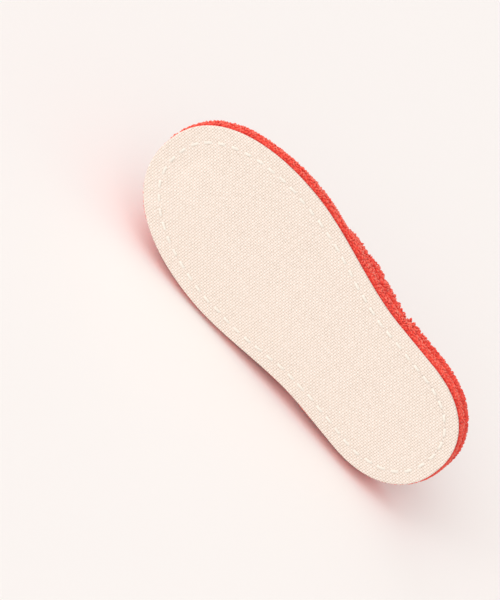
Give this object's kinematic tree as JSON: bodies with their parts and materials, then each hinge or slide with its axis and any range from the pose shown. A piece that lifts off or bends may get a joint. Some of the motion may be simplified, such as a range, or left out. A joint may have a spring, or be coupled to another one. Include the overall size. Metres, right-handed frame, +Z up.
{
  "type": "house slipper",
  "caption": "Open-backed towelling house slipper with a hollow vamp, a padded footbed and a flat stitched canvas sole, lying on its side.",
  "frame": {"origin": "centre of the bounding box on the floor that the slipper lies on", "axes": "+X from toe to heel, +Z up from the floor, sole facing -Y and leaning back by 15 degrees"},
  "size_m": [0.2518, 0.0766, 0.1006],
  "materials": {
    "canvas": "cream plain-weave canvas, matt, with a white running stitch near its edge",
    "towelling": "orange-red looped cotton towelling, matt"
  },
  "bodies": {
    "root": {"outsole": "canvas", "midsole": "towelling", "insole": "towelling", "upper": "towelling"}
  },
  "joints": []
}
